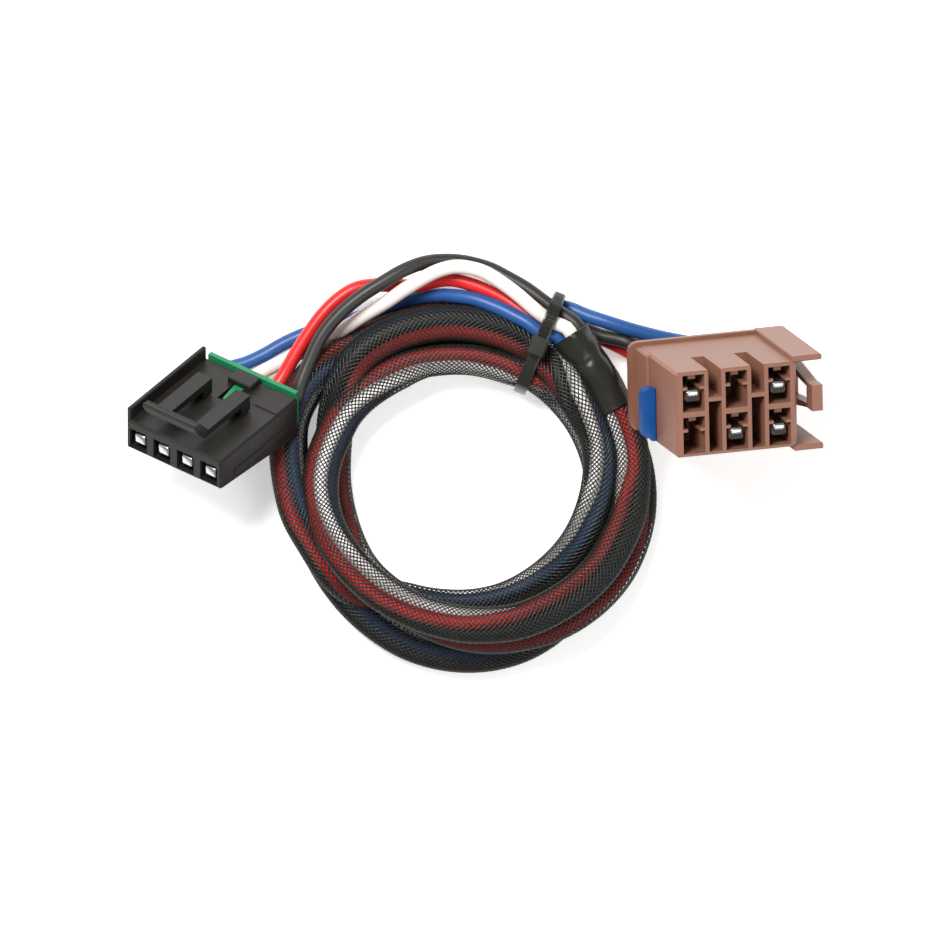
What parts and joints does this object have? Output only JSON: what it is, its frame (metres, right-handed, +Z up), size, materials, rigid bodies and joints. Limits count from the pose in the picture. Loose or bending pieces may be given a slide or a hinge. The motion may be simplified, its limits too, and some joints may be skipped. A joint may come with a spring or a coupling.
{
  "type": "trailer brake controller wiring harness",
  "caption": "Brake controller wiring harness: sleeved loom coiled and tied, leads to a black latching plug at one end and a brown latching plug at the other.",
  "frame": {"origin": "on the floor, under the middle of the box around the two plugs", "axes": "+Z up from the flat floor that the coil lies on, +X from the controller plug towards the vehicle plug, +Y to the side of the coil where the leads run"},
  "size_m": [0.188, 0.1133, 0.0564],
  "materials": {
    "black_plastic": "moulded nylon, fine matt",
    "green_plastic": "moulded nylon, smooth",
    "brown_plastic": "moulded nylon, fine matt",
    "blue_plastic": "moulded nylon, smooth",
    "tin": "tin-plated brass",
    "blue_insulation": "soft PVC insulation",
    "white_insulation": "soft PVC insulation",
    "red_insulation": "soft PVC insulation",
    "black_insulation": "soft PVC insulation",
    "braid": "open braid of black plastic filament over the four wires",
    "heat_shrink": "shrunk polyolefin tube, semi-gloss",
    "tie_nylon": "nylon"
  },
  "bodies": {
    "harness": {"controller_plug_housing": "black_plastic", "vehicle_plug_housing": "brown_plastic", "controller_terminal_1": "tin", "controller_terminal_2": "tin", "controller_terminal_3": "tin", "controller_terminal_4": "tin", "vehicle_terminal_1": "tin", "vehicle_terminal_2": "tin", "vehicle_terminal_3": "tin", "vehicle_terminal_4": "tin", "controller_lead_blue": "blue_insulation", "controller_lead_white": "white_insulation", "controller_lead_red": "red_insulation", "controller_lead_black": "black_insulation", "vehicle_lead_blue": "blue_insulation", "vehicle_lead_white": "white_insulation", "vehicle_lead_red": "red_insulation", "vehicle_lead_black": "black_insulation", "loom_coil": "braid", "controller_end_heat_shrink": "heat_shrink", "vehicle_end_heat_shrink": "heat_shrink", "cable_tie_strap": "tie_nylon", "cable_tie_head": "tie_nylon"},
    "controller_latch": {"controller_plug_latch": "black_plastic"},
    "controller_lock": {"controller_plug_lock": "green_plastic"},
    "vehicle_latch": {"vehicle_plug_latch": "brown_plastic"},
    "vehicle_lock": {"vehicle_plug_lock": "blue_plastic"}
  },
  "joints": [
    {"name": "controller_plug_latch_press", "type": "hinge", "parent": "harness", "child": "controller_latch", "pos_m": [-0.06855, 0.0015, 0.02387], "axis": [0.8016, -0.3658, 0.4728], "range_deg": [0, 8], "stiffness_Nm_per_rad": 1.5},
    {"name": "controller_plug_lock_pull", "type": "slide", "parent": "harness", "child": "controller_lock", "axis": [0.5978, 0.4902, -0.6343], "range_m": [0, 0.0016]},
    {"name": "vehicle_plug_latch_press", "type": "hinge", "parent": "harness", "child": "vehicle_latch", "pos_m": [0.08301, 0.00748, 0.02034], "axis": [0.018, -0.9677, -0.2515], "range_deg": [0, 7], "stiffness_Nm_per_rad": 1.5},
    {"name": "vehicle_plug_lock_pull", "type": "slide", "parent": "harness", "child": "vehicle_lock", "axis": [-0.9485, -0.0961, 0.3018], "range_m": [0, 0.0035]}
  ]
}
